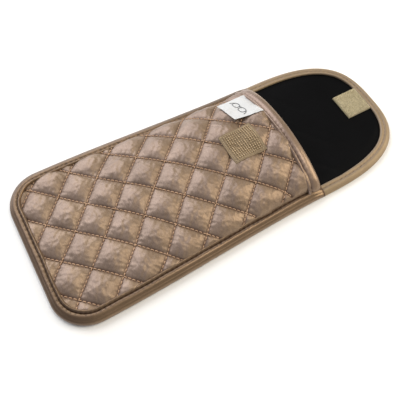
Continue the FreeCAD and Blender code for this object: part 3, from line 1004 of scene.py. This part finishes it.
tongue_top = inset_line(tongue, flap_seam_inset, 3.66 * mm)
tongue_under = inset_line(tongue, flap_seam_inset, 0.28 * mm)
flap_lines = [side[first:last + 1] for side in (tongue_top, tongue_under)]
flap_seam = sew("flap_seam", flap_lines, [upright(flap_lines[0]), upright(flap_lines[1], -1)],
                brown_thread, 22)
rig.replaces(flap_seam, "flap_stitching")
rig.slot(flap_seam, "brown_thread")
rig.blend(flap_seam, "flap_root", "flap_tip", **far_fold)
fold_lines = [side[stretch] for side in (tongue_top, tongue_under)
              for stretch in (slice(3, first - 1), slice(last + 2, -3))]
fold_seam = sew("fold_seam", fold_lines,
                [upright(line, sign) for line, sign in zip(fold_lines, (1, 1, -1, -1))],
                brown_thread, 23)
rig.replaces(fold_seam, "flap_root_stitching")
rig.slot(fold_seam, "brown_thread")
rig.blend(fold_seam, "pouch", "flap_root", **near_fold)

mouth_line, mouth_ups = [], []
for x, (up_x, up_z) in zip(arch[8:-8, 0], arch_up[8:-8]):
    y = mouth_y - mouth_seam_inset * mouth_share(x)
    mouth_line.append((x + up_x * 0.5 * mm, y, front_height(x, y) + up_z * 0.5 * mm))
    mouth_ups.append((up_x, 0, up_z))
mouth_seam = sew("mouth_seam", [mouth_line], [mouth_ups], dark_thread, 24)
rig.replaces(mouth_seam, "mouth_stitching")
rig.slot(mouth_seam, "brown_thread")
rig.ride(mouth_seam, "pouch")


def quilting_lines(height, outward, y_low, y_high):
    """Every stitch line of the diamond grid, cut to the panel, with its way out of the cloth."""
    inset, sample = 6.3 * mm, 0.5 * mm
    runs = []
    for slope in (1, -1):
        for number in range(-14, 24):
            run = []
            for along in np.arange(-8, 12, 1 / grid_per_cell):
                x = knot_x + along * cell_x
                y = knot_y + slope * (number - along) * cell_y
                if not (within(x, y, inset) and y_low < y < y_high):
                    runs.append(run)
                    run = []
                    continue
                slope_x = (height(x + sample, y) - height(x - sample, y)) / (2 * sample)
                slope_y = (height(x, y + sample) - height(x, y - sample)) / (2 * sample)
                up = Vector((-slope_x, -slope_y, 1)).normalized() * outward
                run.append(((x, y, height(x, y) + outward * 0.15 * mm), tuple(up)))
            runs.append(run)
    runs = [run for run in runs if len(run) > 4]
    return [[spot for spot, up in run] for run in runs], [[up for spot, up in run] for run in runs]


lines, ups = quilting_lines(front_height, 1, end_y, mouth_y - 7.6 * mm)
front_thread = sew("front_quilt_thread", [strayed(np.array(line)) for line in lines], ups,
                   tan_thread, 25, pitch=2.4 * mm, length=1.5 * mm, radius=0.37 * mm,
                   height=0.34 * mm)
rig.slot(front_thread, "brown_thread")
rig.ride(front_thread, "pouch")
for name, y_low, y_high, bodies, fold, seed in (
    ("back_quilt_thread", end_y, halfway_y, ("pouch", "flap_root"), near_fold, 26),
    ("flap_quilt_thread", halfway_y, tip_y, ("flap_root", "flap_tip"), far_fold, 27),
):
    lines, ups = quilting_lines(back_height, -1, y_low, y_high)
    piece = sew(name, lines, ups, tan_thread, seed, pitch=2.5 * mm, length=1.9 * mm,
                radius=0.2 * mm, height=0.18 * mm)
    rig.slot(piece, "brown_thread")
    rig.blend(piece, *bodies, **fold)

# --- Lining -----------------------------------------------------------------
# Smooth black polyester, cut to the same pattern and sewn in at the edge. It lies a
# little loose, so it has long shallow folds, most of them beside the mouth.
black = cloth_material("black_lining", (0.0016, 0.0016, 0.0018), (0.0028, 0.0028, 0.0032), 0.42,
                       0.0, thread=0.3 * mm, cloud=20 * mm, specular=0.06)
lining_z = back_top + 0.15 * mm
lining_thickness = 0.25 * mm
back_inset, front_inset = 3 * mm, 4.4 * mm


def off_edge(x, y):
    """0 where the lining is sewn in, and 1 where it lies free."""
    return np.clip((side_x(y, 5 * mm) - abs(x)) / (6 * mm), 0, 1)


def lining_height(x, y):
    """Shallow folds that fan from the mouth corners and fade along the flap."""
    fade = math.exp(-((y - mouth_y) / (22 * mm)) ** 2)
    fold = math.sin(x / (3.1 * mm) + 0.8 * math.sin(y / (9 * mm))) * math.cos(y / (31 * mm))
    drift = (math.sin(x / (13 * mm) + y / (17 * mm))
             + math.sin(x / (8 * mm) - y / (11 * mm) + 1.3))
    bent = x / (9 * mm) - y / (16 * mm) + 0.7 * math.sin(y / (7 * mm))
    crease = (1 - abs(math.sin(bent))) ** 4
    waves = 0.36 + 0.30 * fade * fold + 0.16 * drift + 0.7 * fade * crease
    return lining_z + off_edge(x, y) * mm * waves


def ceiling(x, y):
    """The pocket's lining hangs under the front panel's wadding."""
    ripple = 0.25 * mm * math.sin(x / (4.3 * mm) + y / (15 * mm)) * off_edge(x, y)
    return max(front_height(x, y) - quilt_thickness - 0.1 * mm + ripple, lining_z + 0.1 * mm)


def thin_sheet(name, height, thickness, spot, material, columns=28, rows=28):
    """A thin closed sheet that lies where spot says, for -1 to 1 across it and 0 to 1 along."""
    points = []
    for j in range(rows + 1):
        for i in range(columns + 1):
            x, y = spot(2 * i / columns - 1, j / rows)
            points.append((x, y, height(x, y)))
    wide = columns + 1
    quads = [[j * wide + i, j * wide + i + 1, (j + 1) * wide + i + 1, (j + 1) * wide + i]
             for j in range(rows) for i in range(columns)]
    upper = np.array(points)
    return slab(name, upper, upper - np.array([0, 0, thickness]), quads, material)


def lining_sheet(name, height, inset, y_low, y_high, step=1.4 * mm):
    """Lining over the panel between two stations, drawn in by inset."""
    def spot(across, along):
        y = y_low + (y_high - y_low) * along
        reach = side_x(min(max(y, end_y + inset), tip_y - inset), inset)
        return max(reach, 1 * mm) * across, y
    return thin_sheet(name, height, lining_thickness, spot, black,
                      int(2 * half_end / step), int((y_high - y_low) / step) + 1)


def flat_area(y_low, y_high, inset):
    rows = np.linspace(y_low, y_high, 400)
    return float(np.mean([2 * side_x(y, inset) for y in rows]) * (y_high - y_low))


for name, replaced, y_low, y_high, bodies, fold in (
    ("back_lining_cloth", ("back_lining", "flap_root_lining"), end_y + back_inset, halfway_y,
     ("pouch", "flap_root"), near_fold),
    ("flap_lining_cloth", ("flap_lining",), halfway_y, tip_y - back_inset,
     ("flap_root", "flap_tip"), far_fold),
):
    piece = lining_sheet(name, lining_height, back_inset, y_low, y_high)
    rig.replaces(piece, *replaced)
    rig.slot(piece, "black_lining")
    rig.blend(piece, *bodies, **fold)
    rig.sheet(piece, flat=(2 * half_end, y_high - y_low), held="laid",
             area=flat_area(y_low, y_high, back_inset))

front_lining = lining_sheet("front_lining_cloth", ceiling, front_inset, end_y + 5 * mm,
                            mouth_y - 1.6 * mm)
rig.replaces(front_lining, "front_lining")
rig.slot(front_lining, "black_lining")
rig.ride(front_lining, "pouch")
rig.sheet(front_lining, flat=(2 * half_end, body_length - 5 * mm), held="gathered",
         area=1.08 * flat_area(end_y + 5 * mm, mouth_y, front_inset))

# --- Hook patch -------------------------------------------------------------
# A square of 20 mm hook tape: a woven khaki ground with rows of stiff nylon hooks,
# sewn to the front panel round its edge.
khaki = cloth_material("hook_ground", (0.175, 0.124, 0.070), (0.260, 0.188, 0.110), 0.75, 0.15,
                       thread=0.3 * mm, bump=0.8, depth=0.15 * mm, cloud=5 * mm)
hook_nylon = cloth_material("hook_nylon", (0.460, 0.335, 0.190), (0.620, 0.470, 0.290), 0.45, 0.1,
                            thread=0.2 * mm, cloud=2 * mm)
khaki_thread = cloth_material("khaki_thread", (0.290, 0.215, 0.125), (0.440, 0.340, 0.210), 0.55,
                              0.2, thread=0.15 * mm)
patch_low, patch_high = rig.box("hook_patch")
patch_x = (patch_low.x + patch_high.x) / 2 - 0.3 * mm
patch_y = (patch_low.y + patch_high.y) / 2 + 0.4 * mm
patch_half, patch_seam_half = 10.3 * mm, 9.2 * mm
ground_thickness = 0.9 * mm
front_tree = BVHTree.FromPolygons([Vector(p) for p in front_outer], front_quads)


def front_top(x, y):
    """Height of the quilting's own puffed face."""
    hit = front_tree.ray_cast(Vector((x, y, 0.1)), Vector((0, 0, -1)))
    return hit[0].z if hit[0] is not None else front_height(x, y)


def oblong(centre_x, half_x, y_low, y_high):
    """Where a straight patch lies, for -1 to 1 across it and 0 to 1 along it."""
    return lambda across, along: (centre_x + half_x * across, y_low + (y_high - y_low) * along)


def hook_ground(x, y):
    """The patch bridges the quilting's channels, so it follows an average of the cloth."""
    steps = (-3 * mm, 0, 3 * mm)
    return sum(front_top(x + ox, y + oy) for ox in steps for oy in steps) / 9 + 0.75 * mm


def bristle_tree(name, across, up):
    """A bent strand on every point given: a hook, or a loop whose end comes down. Its four
    knots are shares of its reach across and shares of its height up."""
    tree, given = strand_tree(name, ("Height", "Reach", "Strand Radius", "Turn"))
    knots = [knot_at(tree, given["Reach"], a, given["Height"], u) for a, u in zip(across, up)]
    shape = add(tree, "GeometryNodeCurvePrimitiveBezierSegment", {
        "Resolution": 6, **dict(zip(("Start", "Start Handle", "End Handle", "End"), knots))},
        mode="POSITION")
    stand = add(tree, "FunctionNodeAlignRotationToVector", {"Vector": way_up(tree)}, axis="Z")
    twist = add(tree, "FunctionNodeRandomValue", {
        2: calc(tree, "MULTIPLY", given["Turn"], -1.0), 3: given["Turn"],
        "Seed": given["Seed"]}, data_type="FLOAT")
    about = add(tree, "ShaderNodeCombineXYZ", {"Z": twist.outputs[1]})
    spin = add(tree, "FunctionNodeEulerToRotation", {0: about.outputs[0]})
    turned = add(tree, "FunctionNodeRotateRotation", {
        "Rotation": stand.outputs["Rotation"], "Rotate By": spin.outputs[0]},
        rotation_space="LOCAL")
    strand_on(tree, given, given["Geometry"], shape.outputs["Curve"], given["Strand Radius"], 4,
              turned.outputs["Rotation"], (0.75, 1.2))
    return tree


def sew_round(name, centre_x, half_x, y_low, y_high, height, seed, radius):
    """A seam round a patch, a little in from its edge."""
    spot = oblong(centre_x, half_x, y_low, y_high)
    corners = [(-1, 0), (1, 0), (1, 1), (-1, 1), (-1, 0)]
    line = [spot(a + (b - a) * t, c + (d - c) * t)
            for (a, c), (b, d) in zip(corners, corners[1:])
            for t in np.linspace(0, 1, 24, endpoint=False)] + [spot(-1, 0)]
    line = [(x, y, height(x, y)) for x, y in line]
    return sew(name, [line], [upright(line)], khaki_thread, seed, pitch=2.0 * mm,
               length=1.6 * mm, radius=radius)


hook_patch = thin_sheet("hook_patch_ground", hook_ground, ground_thickness,
                        oblong(patch_x, patch_half, patch_y - patch_half, patch_y + patch_half),
                        khaki)
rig.replaces(hook_patch, "hook_patch")
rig.slot(hook_patch, "hook_tape")
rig.ride(hook_patch, "pouch")

spots = [(patch_x + (i - 6) * 1.34 * mm, patch_y + (j - 6) * 1.30 * mm)
         for i in range(13) for j in range(13)]
hooks = grown("hooks", [(x, y, hook_ground(x, y)) for x, y in spots], (), upright(spots),
              bristle_tree("hooks", (-0.5, -0.5, 0.7, 0.5), (0.0, 1.3, 1.2, 0.35)),
              height=0.72 * mm, reach=0.75 * mm, strand_radius=0.27 * mm, turn=0.25, seed=31,
              finish=hook_nylon)
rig.slot(hooks, "hook_tape")
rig.ride(hooks, "pouch")
hook_seam = sew_round("hook_patch_seam", patch_x, patch_seam_half, patch_y - patch_seam_half,
                      patch_y + patch_seam_half, lambda x, y: hook_ground(x, y) + 0.05 * mm, 32,
                      0.2 * mm)
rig.replaces(hook_seam, "hook_patch_stitching")
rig.slot(hook_seam, "khaki_thread")
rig.ride(hook_seam, "pouch")

# --- Loop patch -------------------------------------------------------------
# The soft half of the fastener: a pale khaki ground under a pile of fine loops, sewn to
# the flap's lining with its outer edge under the flap's tape.
loop_ground = cloth_material("loop_ground", (0.270, 0.225, 0.130), (0.420, 0.360, 0.220), 0.85,
                             0.3, thread=0.25 * mm, bump=0.8, depth=0.15 * mm, cloud=4 * mm)
loop_yarn = cloth_material("loop_yarn", (0.450, 0.385, 0.235), (0.760, 0.670, 0.450), 0.7, 0.3,
                           thread=0.2 * mm, cloud=2 * mm)
loop_low, loop_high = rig.box("loop_patch")
loop_half, loop_x = 8.9 * mm, -1.4 * mm
pile_margin = 0.4 * mm


def loop_top(x, y):
    return lining_height(x, y) * 0.3 + lining_z * 0.7 + 1.0 * mm


loop_patch = thin_sheet("loop_patch_ground", loop_top, ground_thickness,
                        oblong(loop_x, loop_half, loop_low.y, loop_high.y + pile_margin),
                        loop_ground)
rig.replaces(loop_patch, "loop_patch")
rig.slot(loop_patch, "loop_tape")
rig.ride(loop_patch, "flap_tip")

random = np.random.RandomState(41)
pile_low = Vector((loop_x - loop_half + pile_margin, loop_low.y + pile_margin))
pile_wide, pile_long = 2 * (loop_half - pile_margin), loop_high.y - loop_low.y - pile_margin
spots = []
for i in range(40):
    for j in range(35):
        x = pile_low.x + pile_wide * (i + random.rand()) / 40
        y = pile_low.y + pile_long * (j + random.rand()) / 35
        spots.append((x, y, loop_top(x, y)))
loops = grown("loops", spots, (), upright(spots),
              bristle_tree("loops", (-0.5, -0.7, 0.7, 0.5), (0.0, 1.3, 1.3, 0.0)),
              height=0.6 * mm, reach=0.8 * mm, strand_radius=0.10 * mm, turn=3.1, seed=42,
              finish=loop_yarn)
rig.slot(loops, "loop_tape")
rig.ride(loops, "flap_tip")
loop_seam = sew_round("loop_patch_seam", loop_x, loop_half - 1.1 * mm, loop_low.y + 1.2 * mm,
                      loop_high.y - 0.6 * mm, lambda x, y: loop_top(x, y) + 0.35 * mm, 43,
                      0.18 * mm)
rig.replaces(loop_seam, "loop_patch_stitching")
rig.slot(loop_seam, "khaki_thread")
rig.ride(loop_seam, "flap_tip")

# --- Label ------------------------------------------------------------------
# A slip of white satin ribbon folded under the mouth tape beside one corner. It hangs
# over the quilting and curls up a little at its free end. It is blank but for a sketch
# of a pair of glasses.
ribbon = cloth_material("ribbon", (0.53, 0.535, 0.54), (0.62, 0.625, 0.63), 0.45, 0.1,
                        thread=0.2 * mm, cloud=8 * mm, bump=0.15)
grey_thread = cloth_material("grey_thread", (0.030, 0.030, 0.034), (0.060, 0.060, 0.066), 0.6, 0.0,
                             thread=0.15 * mm)
label_low, label_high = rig.box("label")
label_x = (label_low.x + label_high.x) / 2
label_half = 9.4 * mm
label_end = label_low.y - 0.8 * mm
label_start = mouth_y - 6.0 * mm
label_length = label_start - label_end
label_flat = 1.08 * label_length
label_slant = 0.14
label_lean = -1.3 * mm


def on_ribbon(across, along):
    """Where the ribbon lies. It is sewn in askew, and its free end draws in as it curls."""
    fall = 1 - along
    return (label_x + label_half * across * (1.10 - 0.22 * fall) + label_lean * fall,
            label_end + label_length * along + label_slant * label_half * across)


def label_height(x, y):
    """Out from under the mouth tape, over the quilting, and up a little at the free end."""
    down = label_start + label_slant * (x - label_x) - y
    fall = float(np.clip(down / label_length, 0, 1))
    side = (x - label_x) / label_half
    clear = float(np.clip((fall - 0.05) / 0.25, 0, 1))
    laid = front_height(x, y) + 0.8 * mm + 1.5 * mm * clear * clear * (3 - 2 * clear)
    curl = 1.1 * mm * fall ** 3 + 0.5 * mm * fall * side * side
    return max(laid, front_top(x, y) + 0.3 * mm) + curl


label = thin_sheet("label_ribbon", label_height, 0.22 * mm, on_ribbon, ribbon)
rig.replaces(label, "label")
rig.slot(label, "white_label")
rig.ride(label, "pouch")
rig.sheet(label, flat=(2 * label_half, label_flat), held="hung", rests_on=["mouth_tape"],
         area=2 * label_half * label_flat)


def on_label(across, along):
    """A point on the ribbon, from millimetres sideways of and beyond its middle."""
    x, y = on_ribbon(across * mm / label_half, 0.44 + along * mm / label_length)
    return x, y, label_height(x, y) + 0.12 * mm


def rounded(value, size):
    return size * math.copysign(abs(value) ** 0.7, value)


sketch = []
for side in (-1, 1):
    sketch.append([on_label(side * 2.9 + rounded(math.cos(angle), 2.3),
                            rounded(math.sin(angle), 1.75))
                   for angle in np.linspace(0, 2 * math.pi, 41)])
    sketch.append([on_label(side * (5.2 + 1.7 * t), 0.9 - 2.2 * t * t)
                   for t in np.linspace(0, 1, 9)])
sketch.append([on_label(0.75 * t, 0.9 + 0.35 * (1 - t * t)) for t in np.linspace(-1, 1, 9)])
label_sketch = sew("label_sketch", sketch, [upright(line) for line in sketch], grey_thread, 51,
                   pitch=0.6 * mm, length=0.7 * mm, radius=0.17 * mm, height=0.02 * mm)
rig.slot(label_sketch, "white_label")
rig.ride(label_sketch, "pouch")

bounds_low, bounds_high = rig.bounds()
with open("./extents.json", "w") as size_file:
    json.dump({"cad": [list(cad_low), list(cad_high)],
               "visual": [list(bounds_low), list(bounds_high)]}, size_file)
